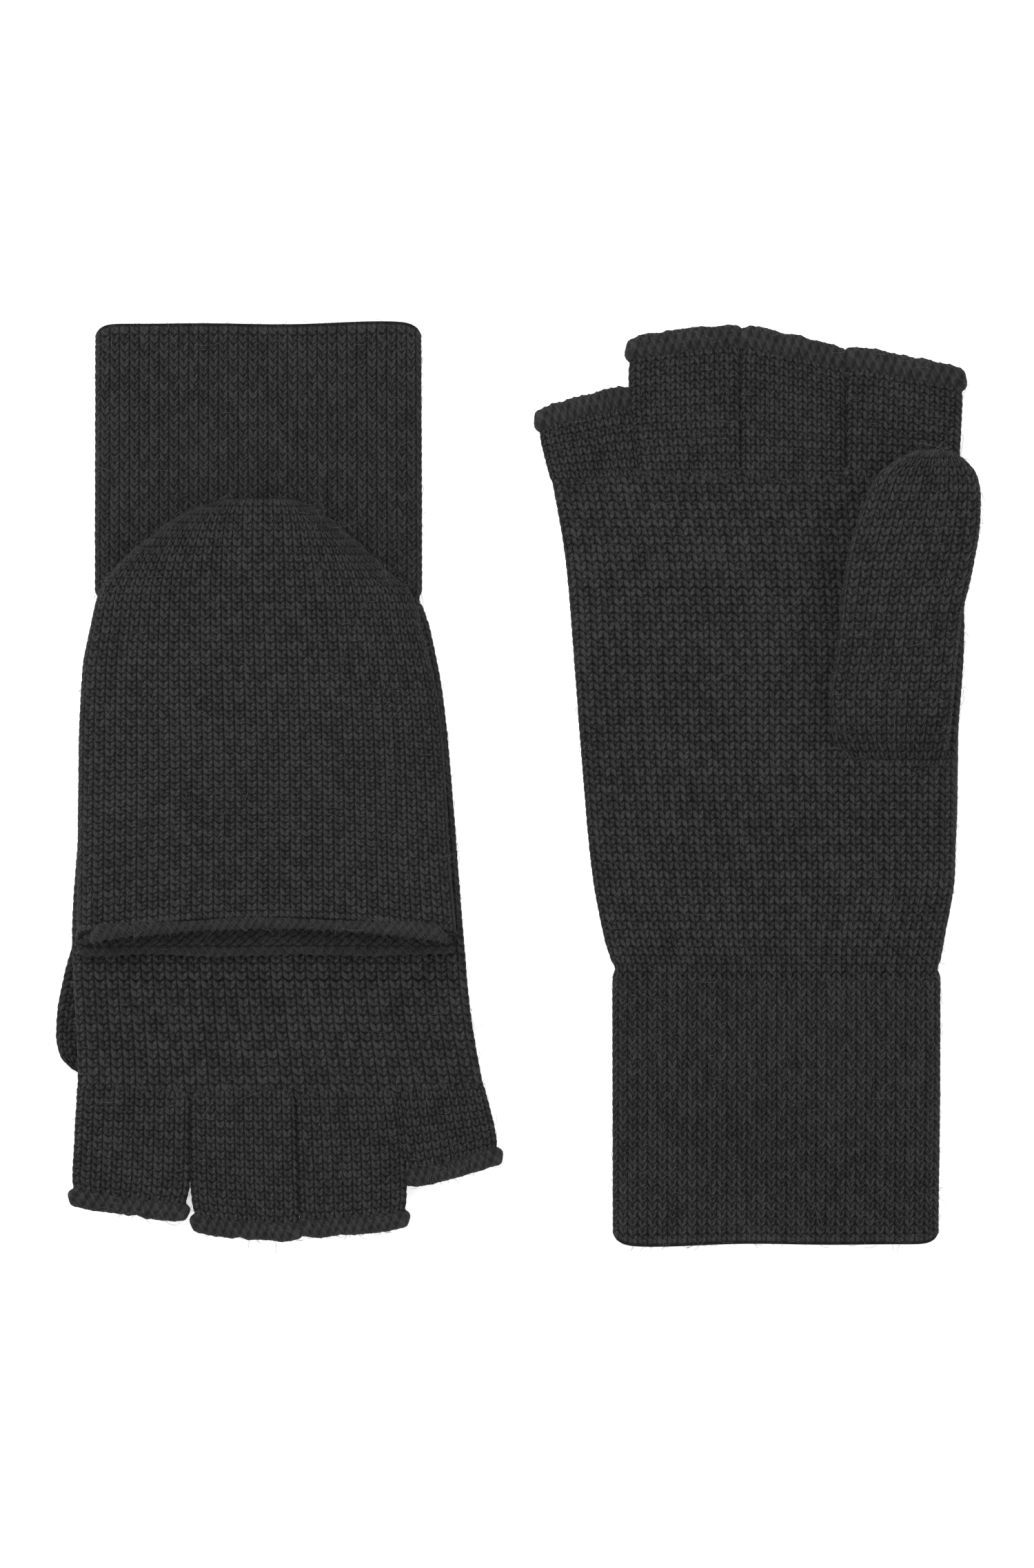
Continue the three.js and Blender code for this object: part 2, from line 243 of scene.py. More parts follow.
# makes a mesh from a grid: place(row, column) gives points, stitch coordinates and relief for every vertex
def gridMesh(name, columns, rows, place, finish, finishOfRow):
    mesh = bpy.data.meshes.new(name)
    bm = bmesh.new()
    bmesh.ops.create_grid(bm, x_segments=columns, y_segments=rows, size=1)
    bm.to_mesh(mesh)
    flat = np.empty(len(mesh.vertices) * 3)
    mesh.vertices.foreach_get("co", flat)
    column = np.rint((flat[0::3] + 1) / 2 * columns).astype(int)
    row = np.rint((flat[1::3] + 1) / 2 * rows).astype(int)
    points, stitch, relief = place(row, column)
    points[:, 2] = np.maximum(points[:, 2], glove["offTable"])
    mesh.vertices.foreach_set("co", (points * millimetre).ravel())
    corner = np.empty(len(mesh.loops), np.int32)
    mesh.loops.foreach_get("vertex_index", corner)
    uv = mesh.uv_layers.new(name="stitch")
    uv.data.foreach_set("uv", stitch[corner].astype(np.float32).ravel())
    # the relief also sets the painted shade that darkens the wool's colour in the gaps
    height = mesh.attributes.new("relief", "FLOAT", "POINT")
    height.data.foreach_set("value", relief.astype(np.float32))
    faceRow = row[corner].reshape(-1, 4).min(1)
    mesh.polygons.foreach_set("material_index", finishOfRow[faceRow].astype(np.int32))
    mesh.polygons.foreach_set("use_smooth", np.ones(len(mesh.polygons), bool))
    bm.clear()
    bm.from_mesh(mesh)
    bmesh.ops.remove_doubles(bm, verts=bm.verts, dist=knitting["weld"])
    if bm.calc_volume(signed=True) < 0:
        bmesh.ops.reverse_faces(bm, faces=bm.faces)
    bm.to_mesh(mesh)
    bm.free()
    piece = bpy.data.objects.new(name, mesh)
    bpy.context.scene.collection.objects.link(piece)
    for material in finish:
        mesh.materials.append(material)
    return piece


# the rows of a knitted tube from its start over its outside to its end and back inside. Each row holds the
# course, the depth below the outer face, the length past the end, and its share of stitches outside and in
def tubeRows(knit):
    courses, ends, perCourse = knit["courses"], knit["ends"], len(knitting["phases"])
    outside = [(c + phase, 0, 0, 1, 0) for c in range(courses) for phase in knitting["phases"]]
    outside.append((courses, 0, 0, 1, 0))
    wall, lipHeight = knit.get("layer", layer), knitting["lipHeight"]
    turns = (np.pi / 4, np.pi / 2, 3 * np.pi / 4)
    lip = [(wall / 2 * (1 - np.cos(turn)), wall / 2 * np.sin(turn)) for turn in turns]
    rows = list(outside)
    if ends[1] == "open":
        rows += [(courses, depth, past, lipHeight, 0) for depth, past in lip]
    fine = knit.get("purlRows", 0)
    first = knitting["insideFrom"] if ends[0] == "closed" else 0
    inside = [courses - k / perCourse for k in range(fine)]
    inside += list(np.linspace(courses - fine / perCourse, first, knitting["insideRows"]))
    rows += [(c, wall, 0, 0, 1 if fine else 0) for c in inside]
    if ends[0] == "open":
        rows += [(0, depth, -past, lipHeight, 0) for depth, past in reversed(lip)]
    if ends[0] != "closed":
        rows.append(rows[0])
    return np.array(rows, float), len(outside)


# the little hills of the purl side
def purlHills(wale, course):
    return 0.5 + 0.5 * np.cos(2 * np.pi * wale) * np.cos(2 * np.pi * course)


# which way the surface at(f, v, inset) runs along the tube and out of it
def directions(at, f, v, inset, stepRound):
    stepAlong = knitting["stepAlong"]
    around = at(f + stepRound, v, inset) - at(f - stepRound, v, inset)
    ahead = at(f, v + stepAlong, inset) - at(f, v - stepAlong, inset)
    normal = np.cross(around, ahead)
    return ahead, normal / np.maximum(np.linalg.norm(normal, axis=1, keepdims=True), 1e-9)


# the share of its slant that a stitch keeps near an open or closed end
def settled(knit, along):
    share = np.ones(len(along))
    if knit["ends"][0] in ("open", "closed"):
        share = share * smooth(along / knitting["settling"])
    if knit["ends"][1] == "open":
        share = share * smooth((knit["courses"] - along) / knitting["settling"])
    return share


# how far a tucked end sinks under its neighbour
def tuckedIn(knit, along):
    tuck = knitting["tuck"]
    if knit["ends"][1] == "tucked":
        return tuck["depth"] * smooth((along - knit["courses"] + tuck["end"]) / tuck["end"])
    if knit["ends"][0] == "tucked":
        return tuck["depth"] * smooth((tuck["start"] - along) / tuck["start"])
    return 0


# stitches lie flatter on the side folds, towards a closed tip and where the knit's own crowding says
def flattened(knit, f, v, along):
    share = knit["squeezed"](f, v) if "squeezed" in knit else 1
    if knit["ends"][0] == "closed":
        share = smooth(along / knitting["settling"]) * share
    offFold = smooth(np.abs(np.sin(2 * np.pi * f)) / knitting["foldWidth"])
    return share * mix(knitting["foldHeight"], 1, offFold)


# knits a tube over the surface at(f, v, inset). A stitch's V points to the tube's start when point is 1, and
# to its end when it is -1
def knitTube(name, at, knit, finish):
    rows, outside = tubeRows(knit)
    wales, courses, perWale = knit["wales"], knit["courses"], knitting["perWale"]
    course = (knit["end"] - knit["start"]) / courses
    rng = np.random.default_rng(knit["seed"])
    stitches = rng.uniform(-1, 1, (3, courses + 2, 2 * wales))
    finishOfRow = np.where(np.arange(len(rows)) < outside + 1, 0, 1)
    look, crease = knitting["rib" if "rib" in knit else "plain"], knitting["crease"]

    def place(row, column):
        along, depth, past, outer, inner = rows[row].T
        wale, phase = column / perWale, along % 1
        part = wale % 1
        middle, swing = np.abs(2 * part - 1), np.sin(2 * np.pi * part)
        leg = (2 * (wale % wales)).astype(int) % (2 * wales)
        rowOf = np.clip(along.astype(int), 0, courses)
        tall, aside, shift = stitches[:, rowOf, leg] * knitting["unevenness"]
        shaped = outer * (depth == 0) * settled(knit, along)
        depth = depth + tuckedIn(knit, along)

        lean = look["lean"] * (phase - 0.5) * swing * knit["point"]
        f = (wale - (lean + knitting["aside"] * aside * np.abs(swing)) * shaped) / wales
        chevron = knit["point"] * look["chevron"] * (middle - 0.5)
        chevron = chevron + knitting["shift"] * shift * (middle > 0.1) * (middle < 0.9)
        v = knit["start"] + course * (along + chevron * shaped) + past

        across = np.select([np.abs(part) < 0.01, np.abs(part - 0.5) < 0.01], look["columns"], 1.0)
        rise = np.select([phase < 0.1, phase < 0.5, phase < 1], look["rows"])
        relief = across * rise * (1 + tall)
        purl = purlHills(wale, along)
        out = glove["stitchHeight"] * relief * outer * flattened(knit, f, v, along)
        out = out - knitting["purlDepth"] * purl * inner
        if "rib" in knit:
            out = out + knit["ribHeight"] * np.cos(2 * np.pi * knit["rib"] * f) * outer
        if "crease" in knit:
            out = out - crease["depth"] * np.exp(-((v - knit["crease"]) / crease["width"]) ** 2) * outer
        _, normal = directions(at, f, v, depth, knitting["stepRound"] / wales)
        points = at(f, v, depth) + normal * out[:, None]
        # the relief kept for the painted shade: purl hills inside, the stitch's relief outside
        hill = np.where(inner > 0, purl, np.clip(relief, 0, knitting["reliefTop"]))
        return points, np.stack([wale, along], -1), hill

    return gridMesh(name, wales * perWale, len(rows) - 1, place, finish, finishOfRow)


rolling = {
    "rows": 20,
    "sunk": 6,  # the roll's middle lies this part of its depth inside the tube's face
    "stepRound": 0.01,
    "hillsFrom": 0.25,
    "hills": 0.16,
    "hillMiddle": 0.6,
    "bulge": 0.05,
    "reach": 0.35,
}


# a rolled edge round the end of a tube: a ring of purl hills over the surface at(f, v, inset)
def rolledEdge(name, at, edge, finish):
    columns, rows = edge["wales"] * knitting["perWale"], rolling["rows"]
    rng = np.random.default_rng(edge["seed"])
    wander = rng.uniform(-1, 1, (2, edge["wales"]))

    def place(row, column):
        wale, turn = column / knitting["perWale"], row / rows
        f, angle = wale / edge["wales"], 2 * np.pi * row / rows
        loop = np.arange(edge["wales"] + 1)
        bulge, reach = (np.interp(wale, loop, np.append(w, w[0])) for w in wander)
        v = np.full(len(row), edge["at"])
        ahead, normal = directions(at, f, v, layer / 2, rolling["stepRound"])
        ahead /= np.linalg.norm(ahead, axis=1, keepdims=True)
        purl = purlHills(wale + turn, turn * edge["courses"] + rolling["hillsFrom"])
        swell = 1 + rolling["bulge"] * bulge + rolling["hills"] * (purl - rolling["hillMiddle"])
        outward = edge["depth"] / 2 * np.cos(angle) * swell
        endward = edge["height"] / 2 * np.sin(angle) * swell + rolling["reach"] * reach
        centre = at(f, v, edge["depth"] / rolling["sunk"])
        points = centre + normal * outward[:, None] + ahead * endward[:, None]
        return points, np.stack([wale, turn * edge["courses"]], -1), purl

    return gridMesh(name, columns, rows, place, finish, np.zeros(rows + 1, int))


roping = {
    "columns": 20,
    "lumps": 60,
    "lumpy": 0.10,
    "stepAlong": 0.004,
    "size": 0.93,
    "pointed": 2.5,  # length of its pointed ends
    # the least relief given to the painted shade between the rope's hills
    "lowest": 0.25,
}


# a rolled rope of purl hills along line(share), closed to a point at both ends
def rolledRope(name, line, rope, finish):
    columns, rows, lumps = roping["columns"], rope["steps"], roping["lumps"]
    rng = np.random.default_rng(rope["seed"])
    wander = rng.uniform(-1, 1, lumps)

    def place(row, column):
        share, turn = row / rows, column / columns
        angle = 2 * np.pi * turn
        step = roping["stepAlong"]
        ahead = line(np.minimum(share + step, 1)) - line(np.maximum(share - step, 0))
        ahead /= np.linalg.norm(ahead, axis=1, keepdims=True)
        side = np.cross(ahead, np.array([0, 0, 1.0]))
        side /= np.linalg.norm(side, axis=1, keepdims=True)
        above = np.cross(side, ahead)
        wale = share * rope["wales"] + turn
        hills = purlHills(wale, rope["courses"] * turn)
        lump = np.interp(share * (lumps - 1), np.arange(lumps), wander)
        swell = roping["size"] + rope["hills"] * (hills - 0.5) + roping["lumpy"] * lump
        toEnd = np.minimum(share, 1 - share) * rope["length"] / roping["pointed"]
        swell = swell * np.sqrt(np.clip(1 - (1 - np.minimum(toEnd, 1)) ** 2, 0, 1))
        aside, over = rope["across"] * np.cos(angle) * swell, rope["through"] * np.sin(angle) * swell
        points = line(share) + side * aside[:, None] + above * over[:, None]
        return points, np.stack([wale, rope["courses"] * turn], -1), mix(roping["lowest"], 1, hills)

    return gridMesh(name, columns, rows, place, finish, np.zeros(rows + 1, int))


def newNode(tree, kind, **values):
    node = tree.nodes.new(kind)
    for key, value in values.items():
        setattr(node, key, value)
    return node


def noiseNode(tree, vector, **values):
    noise = newNode(tree, "ShaderNodeTexNoise")
    for key, value in values.items():
        noise.inputs[key.capitalize()].default_value = value
    tree.links.new(vector, noise.inputs["Vector"])
    return noise.outputs["Fac"]


def maths(tree, operation, a, b=None):
    node = newNode(tree, "ShaderNodeMath", operation=operation)
    for socket, value in zip(node.inputs, (a, b)):
        if value is None:
            continue
        if isinstance(value, (int, float)):
            socket.default_value = value
        else:
            tree.links.new(value, socket)
    return node.outputs[0]


yarn = {
    "twist": radians(24),
    "fibreScale": (9, 2.6, 1),
    "fibre": {"scale": 1.0, "detail": 3.0, "roughness": 0.65},
    "fibreTone": 1.5,
    "slant": (0.9, 1.15),  # how the plies run across and along a stitch's leg
    "strayed": 0.5,
    "mottles": {"scale": 55.0, "detail": 2.0},
    "paintedShadeEnds": 0.75,  # the relief above which no painted shade darkens a stitch
    "plyHeight": 0.8,
    "roughness": 0.95,
    "brightRoughness": 0.12,  # and how much smoother the brightest fibres are
}


# wool yarn in knitted stitches: plies that run slantwise along each leg, stray fibre, stitches that differ a
# little, slow mottling over the whole piece, and painted shade in the gaps between the legs
def woolGroup():
    tree = bpy.data.node_groups.new("woolStitches", "ShaderNodeTree")
    face = tree.interface
    for name in ("Shade", "Bright"):
        face.new_socket(name, in_out="INPUT", socket_type="NodeSocketColor")
    for name in ("Plies", "Ply strength", "Difference", "Mottling", "Painted gap shade"):
        face.new_socket(name, in_out="INPUT", socket_type="NodeSocketFloat")
    face.new_socket("Color", in_out="OUTPUT", socket_type="NodeSocketColor")
    for name in ("Height", "Roughness"):
        face.new_socket(name, in_out="OUTPUT", socket_type="NodeSocketFloat")
    given = newNode(tree, "NodeGroupInput").outputs
    result = newNode(tree, "NodeGroupOutput").inputs

    # which stitch and which of its legs, and one random value for each leg
    uv = newNode(tree, "ShaderNodeUVMap", uv_map="stitch").outputs[0]
    split = newNode(tree, "ShaderNodeSeparateXYZ")
    tree.links.new(uv, split.inputs[0])
    leg = maths(tree, "MULTIPLY", split.outputs[0], 2.0)
    across, along = maths(tree, "FRACT", leg), maths(tree, "FRACT", split.outputs[1])
    which = newNode(tree, "ShaderNodeCombineXYZ")
    tree.links.new(maths(tree, "FLOOR", leg), which.inputs[0])
    tree.links.new(maths(tree, "FLOOR", split.outputs[1]), which.inputs[1])
    each = newNode(tree, "ShaderNodeTexWhiteNoise", noise_dimensions="2D")
    tree.links.new(which.outputs[0], each.inputs["Vector"])
    single = maths(tree, "MULTIPLY", maths(tree, "SUBTRACT", each.outputs["Value"], 0.5), given["Difference"])

    # fibres drawn out along the yarn
    stretched = newNode(tree, "ShaderNodeMapping")
    stretched.inputs["Rotation"].default_value = (0, 0, yarn["twist"])
    stretched.inputs["Scale"].default_value = yarn["fibreScale"]
    tree.links.new(uv, stretched.inputs["Vector"])
    fibre = maths(tree, "SUBTRACT", noiseNode(tree, stretched.outputs[0], **yarn["fibre"]), 0.5)

    # plies
    slant = maths(tree, "ADD", maths(tree, "MULTIPLY", across, yarn["slant"][0]),
                  maths(tree, "MULTIPLY", along, yarn["slant"][1]))
    slant = maths(tree, "ADD", slant, maths(tree, "MULTIPLY", fibre, yarn["strayed"]))
    turns = maths(tree, "MULTIPLY", slant, given["Plies"])
    wave = maths(tree, "SINE", maths(tree, "MULTIPLY", turns, radians(360)))
    ply = maths(tree, "MULTIPLY", wave, given["Ply strength"])

    # mottling over the whole piece
    cloud = noiseNode(tree, newNode(tree, "ShaderNodeTexCoord").outputs["Object"], **yarn["mottles"])
    patches = maths(tree, "MULTIPLY", maths(tree, "SUBTRACT", cloud, 0.5), given["Mottling"])

    # the tone between shade and bright, then painted shade that darkens it towards the gaps between stitches
    tone = maths(tree, "ADD", ply, maths(tree, "MULTIPLY", fibre, yarn["fibreTone"]))
    tone = maths(tree, "ADD", maths(tree, "ADD", tone, single), patches)
    tone = maths(tree, "ADD", tone, 0.5)
    relief = newNode(tree, "ShaderNodeAttribute", attribute_name="relief").outputs["Fac"]
    # painted shade: the lower the relief, the darker the colour, down to the gap's share at the bottom of a
    # gap
    depth = newNode(tree, "ShaderNodeMapRange", interpolation_type="SMOOTHSTEP")
    depth.inputs["From Min"].default_value = 0.0
    depth.inputs["From Max"].default_value = yarn["paintedShadeEnds"]
    tree.links.new(relief, depth.inputs["Value"])
    tree.links.new(given["Painted gap shade"], depth.inputs["To Min"])
    depth.inputs["To Max"].default_value = 1.0
    wool = newNode(tree, "ShaderNodeMix", data_type="RGBA")
    tree.links.new(tone, wool.inputs[0])
    tree.links.new(given["Shade"], wool.inputs[6])
    tree.links.new(given["Bright"], wool.inputs[7])
    darkened = newNode(tree, "ShaderNodeVectorMath", operation="SCALE")
    tree.links.new(wool.outputs[2], darkened.inputs[0])
    tree.links.new(depth.outputs["Result"], darkened.inputs["Scale"])
    tree.links.new(darkened.outputs[0], result["Color"])

    raised = maths(tree, "ADD", maths(tree, "MULTIPLY", ply, yarn["plyHeight"]), fibre)
    tree.links.new(raised, result["Height"])
    smoother = maths(tree, "MULTIPLY", tone, yarn["brightRoughness"])
    tree.links.new(maths(tree, "SUBTRACT", yarn["roughness"], smoother), result["Roughness"])
    return tree


woolStitches = woolGroup()

# each wool's gap value is painted shade: the share of its colour that a stitch keeps at the bottom of a gap
faceWool = {"Shade": 0.0080, "Bright": 0.0430, "Plies": 1.5, "Ply strength": 0.24, "Difference": 0.36,
            "Mottling": 0.22, "Painted gap shade": 0.20}
wools = {
    "plainWool": faceWool,
    "ribWool": faceWool,
    "purlWool": {"Shade": 0.0080, "Bright": 0.0400, "Plies": 1.2, "Ply strength": 0.16, "Difference": 0.30,
                 "Mottling": 0.22, "Painted gap shade": 0.30},
    "rolledWool": {"Shade": 0.0110, "Bright": 0.0380, "Plies": 1.3, "Ply strength": 0.18, "Difference": 0.30,
                   "Mottling": 0.25, "Painted gap shade": 0.34},
    "ropeWool": {"Shade": 0.0100, "Bright": 0.0360, "Plies": 1.6, "Ply strength": 0.20, "Difference": 0.25,
                 "Mottling": 0.25, "Painted gap shade": 0.34},
}
woolBump = {"Strength": 0.55, "Distance": 0.00025}  # the distance is in metres
woolSheen = {"Sheen Weight": 0.01, "Sheen Roughness": 0.5, "Specular IOR Level": 0.08}


def woolMaterial(name, values):
    material = bpy.data.materials.new(name)
    material.use_nodes = True
    tree = material.node_tree
    shader = tree.nodes["Principled BSDF"]
    wool = newNode(tree, "ShaderNodeGroup", node_tree=woolStitches)
    for key, value in values.items():
        wool.inputs[key].default_value = (value,) * 3 + (1,) if key in ("Shade", "Bright") else value
    bump = newNode(tree, "ShaderNodeBump")
    for key, value in woolBump.items():
        bump.inputs[key].default_value = value
    tree.links.new(wool.outputs["Color"], shader.inputs["Base Color"])
    tree.links.new(wool.outputs["Roughness"], shader.inputs["Roughness"])
    tree.links.new(wool.outputs["Height"], bump.inputs["Height"])
    tree.links.new(bump.outputs[0], shader.inputs["Normal"])
    for key, value in woolSheen.items():
        shader.inputs[key].default_value = value
    return material


strayFibre = {"dark": (0.020, 0.020, 0.020, 1), "light": (0.080, 0.079, 0.077, 1), "scale": 900.0,
              "roughness": 0.7}


def fibreMaterial():
    material = bpy.data.materials.new("looseFibre")
    material.use_nodes = True
    tree = material.node_tree
    shader = tree.nodes["Principled BSDF"]
    place = newNode(tree, "ShaderNodeTexCoord").outputs["Object"]
    tone = newNode(tree, "ShaderNodeMix", data_type="RGBA")
    tree.links.new(noiseNode(tree, place, scale=strayFibre["scale"]), tone.inputs[0])
    tone.inputs[6].default_value = strayFibre["dark"]
    tone.inputs[7].default_value = strayFibre["light"]
    tree.links.new(tone.outputs[2], shader.inputs["Base Color"])
    shader.inputs["Roughness"].default_value = strayFibre["roughness"]
    return material


materials = {name: woolMaterial(name, values) for name, values in wools.items()}
looseFibre = fibreMaterial()
plainPurl = [materials["plainWool"], materials["purlWool"]]
ribPurl = [materials["ribWool"], materials["purlWool"]]
print("materials made")

sides = {
    "left": {"lay": layLeft, "layThumb": layLeftThumb, "palmUp": False, "point": -1, "seed": 10},
    "right": {"lay": layRight, "layThumb": layRight, "palmUp": True, "point": 1, "seed": 50},
}
seeds = {"hand": 0, "fingers": 10, "thumb": 20, "cap": 30, "fuzz": 40}  # added to a side's own seed
waves = {"hand": 0.35, "cap": 0.3, "hem": 0.3}  # how far the fabric waves up and down


# how far the top face waves up at a point, and not at all at the side folds
def wave(part, u, v, f):
    return waves[part] * uneven(u, v) * (f < 0.5) * np.sin(2 * np.pi * f)


backDip = {"from": 150, "over": 12, "by": 0.25}  # the back lies a little lower from the cap's seam on


# a point of the hand's tube: its height over the underside is turned into w for this glove
def handAt(side, f, v, inset, low, high):
    palm = palmLift(v) + skin
    back = tube - skin - backDip["by"] * smooth((v - backDip["from"]) / backDip["over"])
    u, up = tubeSection(f, low + skin, high - skin, back - palm, inset)
    return u, back - up if side["palmUp"] else palm + up


# the cuff's open edge: its corners are rounded, and it waves a little
edging = {"reach": 9, "corner": 3.0, "half": 41.4, "sharpness": 24, "wave": 0.7, "drift": 31}


def handPiece(side):
    def at(f, v, inset):
        f = f % 1
        u, w = handAt(side, f, v, inset, littleEdge(v), thumbEdge(v))
        toEdge = 1 - smooth(v / edging["reach"])
        corner = edging["corner"] * np.abs(u / edging["half"]) ** edging["sharpness"]
        along = v + toEdge * (corner + edging["wave"] * uneven(u + v, edging["drift"]))
        lifted = wave("hand", u, v, f)
        return side["lay"](u, along, w - lifted if side["palmUp"] else w + lifted)

    return at


hands = {
    "cuff": {"start": 0.8, "end": 69, "courses": 34, "ends": ("open", "cut"), "rib": 24, "ribHeight": 0.20,
             "crease": 70},
    "hand": {"start": 69, "end": 166, "courses": 45, "ends": ("cut", "cut"), "crease": 70},
    "knuckles": {"start": 166, "end": 196.6, "courses": 14, "ends": ("cut", "tucked")},
}
handWales = 68


def makeHand(name, side):
    pieces = {}
    for number, (part, knit) in enumerate(hands.items()):
        seed = side["seed"] + seeds["hand"] + number
        knit = {**knit, "wales": handWales, "point": side["point"], "seed": seed}
        finish = ribPurl if part == "cuff" else plainPurl
        pieces[part] = knitTube(f"{name}_{part}_knit", handPiece(side), knit, finish)
    return pieces


# each finger's two side edges, and where its end lies at those two edges
fingers = {
    "left": {
        "index": {"low": through((191, 17.6), (214, 17.8), (227, 19.4)),
                  "high": through((191, 46.2), (226, 48)),
                  "ends": (227.6, 223.4), "at": (19.6, 48)},
        "middle": {"low": through((191, -8.9), (230, -10)),
                   "high": through((191, 17.5), (216, 17.3), (230, 16.2)),
                   "ends": (232.6, 230.6), "at": (-10, 16)},
        "ring": {"low": through((191, -34), (214, -36.7), (229, -36.9)),
                 "high": through((191, -9.1), (230, -10.2)),
                 "ends": (229.4, 231.6), "at": (-36.6, -10.4)},
        "little": {"low": through((191, -56.6), (204, -59.4), (215, -61.2)),
                   "high": through((191, -34.2), (214, -36.9)),
                   "ends": (213.0, 219.4), "at": (-61, -37)},
    },
    "right": {
        "index": {"low": through((191, 17.6), (226, 18.1)), "high": through((191, 46.2), (224, 47.9)),
                  "ends": (227.8, 222.4), "at": (18.2, 47.8)},
        "middle": {"low": through((191, -8.9), (230, -8.9)), "high": through((191, 17.5), (228, 17.7)),
                   "ends": (233.2, 227.4), "at": (-8.8, 17.8)},
        "ring": {"low": through((191, -34), (214, -36.8), (230, -37)),
                 "high": through((191, -9.1), (231, -9.1)),
                 "ends": (230.2, 233.4), "at": (-36.8, -9.2)},
        "little": {"low": through((191, -56.6), (204, -59.4), (215, -61.2)),
                   "high": through((191, -34.2), (214, -37)),
                   "ends": (211.6, 218.0), "at": (-61, -37.2)},
    },
}
fingerKnit = {
    "wales": 24,
    "course": 2.0,
    "from": 191.8,
    "touching": 0.6,  # how far a finger's side reaches into its neighbour's, so that no gap shows
    "pinched": 0.35,  # how far the tube draws in under its rolled edge
    "pinchFrom": 5,
    "pinchOver": 3,
    "cornered": 1.0,  # how far the end's corners draw back
    "cornerPower": 8,
    "edgeDepth": 4.2,
    "edgeHeight": {"left": 5.0, "right": 6.4},
    "edgeCourses": 4,
}


# neighbouring fingers touch, while the outermost sides run on from the hand's sides
def fingerPiece(side, finger, shape, span, edgeHeight):
    start, touching = fingerKnit["from"], fingerKnit["touching"]
    lowTouch, highTouch = 0 if finger == "little" else touching, 0 if finger == "index" else touching

    def at(f, v, inset):
        f = f % 1
        share = (v - start) / (span - start)
        low, high = shape["low"](v), shape["high"](v)
        underEdge = smooth((v - span + fingerKnit["pinchFrom"]) / fingerKnit["pinchOver"])
        pinched = inset + fingerKnit["pinched"] * underEdge
        u, w = handAt(side, f, v, pinched, low - lowTouch, high + highTouch)
        reach = (u - low) / (high - low)
        end = mix(*shape["ends"], (u - shape["at"][0]) / (shape["at"][1] - shape["at"][0])) - edgeHeight / 2
        end = end - fingerKnit["cornered"] * np.abs(2 * reach - 1) ** fingerKnit["cornerPower"]
        return side["lay"](u, mix(start, end, share), w)

    return at


def makeFingers(name, side):
    pieces = {}
    edgeHeight = fingerKnit["edgeHeight"][name]
    for number, (finger, shape) in enumerate(fingers[name].items()):
        span = sum(shape["ends"]) / 2 - edgeHeight / 2
        at = fingerPiece(side, finger, shape, span, edgeHeight)
        courses = round((span - fingerKnit["from"]) / fingerKnit["course"])
        seed = side["seed"] + seeds["fingers"] + number
        knit = {"start": fingerKnit["from"], "end": span, "courses": courses, "ends": ("tucked", "open"),
                "wales": fingerKnit["wales"], "point": side["point"], "seed": seed}
        pieces[f"{finger}_finger"] = knitTube(f"{name}_{finger}_finger_knit", at, knit, plainPurl)
        edge = {"wales": fingerKnit["wales"], "courses": fingerKnit["edgeCourses"], "at": span,
                "height": edgeHeight, "depth": fingerKnit["edgeDepth"], "seed": seed}
        rolledWool = [materials["rolledWool"]]
        pieces[f"{finger}_edge"] = rolledEdge(f"{name}_{finger}_edge_roll", at, edge, rolledWool)
    return pieces


thumbKnit = {
    "wales": 26,
    "courses": 37,
    "start": 201,
    "end": 121,
    "pressed": 4.2,  # its thickness under the left palm
    "rootFrom": 119.5,
    "rootOver": 15,
    "rootThin": 0.2,
    "tipOver": 5,
    "tipWall": 0.8,
    "hollow": 0.42,  # the wall's inner face stays within this share of the thickness
    "clear": 0.3,  # from the palm
    "rootRise": -3.8,  # the root sinks into the palm, while the rest lies over it and rises to its tip
    "rise": 0.3,
    "tipRise": 1.5,
    "tipRiseOver": 40,
}


# the thumb lies over the palm of the right glove and under the palm of the left one. Its knitting is counted
# from the closed tip back to the root
def thumbPiece(side):
    full = tube if side["palmUp"] else thumbKnit["pressed"]

    def at(f, v, inset):
        f = f % 1
        root = smooth((v - thumbKnit["rootFrom"]) / thumbKnit["rootOver"])
        tip = np.clip((thumbKnit["start"] - inset * thumbKnit["tipWall"] - v) / thumbKnit["tipOver"], 0, 1)
        thick = (full - 2 * skin) * mix(thumbKnit["rootThin"], 1, root)
        low, high = thumbInner(v + inset) + skin, thumbOuter(v + inset) - skin
        u, up = tubeSection(f, low, high, thick, np.minimum(inset, thumbKnit["hollow"] * thick))
        up = thick / 2 + (up - thick / 2) * np.sqrt(1 - (1 - tip) ** 2)
        if not side["palmUp"]:
            return layLeftThumb(u, v, skin + up)
        toTip = smooth((v - glove["thumbFrom"]) / thumbKnit["tipRiseOver"])
        rise = mix(thumbKnit["rootRise"], thumbKnit["rise"] + thumbKnit["tipRise"] * toTip, root)
        return layRight(u, v, -thumbKnit["clear"] - rise - skin - up)

    return at


def makeThumb(name, side):
    knit = {key: thumbKnit[key] for key in ("wales", "courses", "start", "end")}
    knit.update({"ends": ("closed", "open"), "point": -side["point"], "seed": side["seed"] + seeds["thumb"]})
    return knitTube(f"{name}_thumb_knit", thumbPiece(side), knit, plainPurl)


capKnit = {
    "wales": 72,
    "courses": 56,
    "half": 47.7,
    "mouth": 157.2,
    "behindHem": 0.9,
    "archFrom": 80,  # from here on the courses bend to the arch of the mouth
    "archOver": 60,
    "crownRound": 5,
    "narrowest": 0.5,
    "purlRows": 15,
    "layer": 1.0,
    "waveScale": (1.3, 1.1),
    "waveFrom": 20,
    "crowdFold": 3.4,
    "crowding": 1.5,
    "crowded": 0.25,  # the least height of a crowded stitch, as a share
}


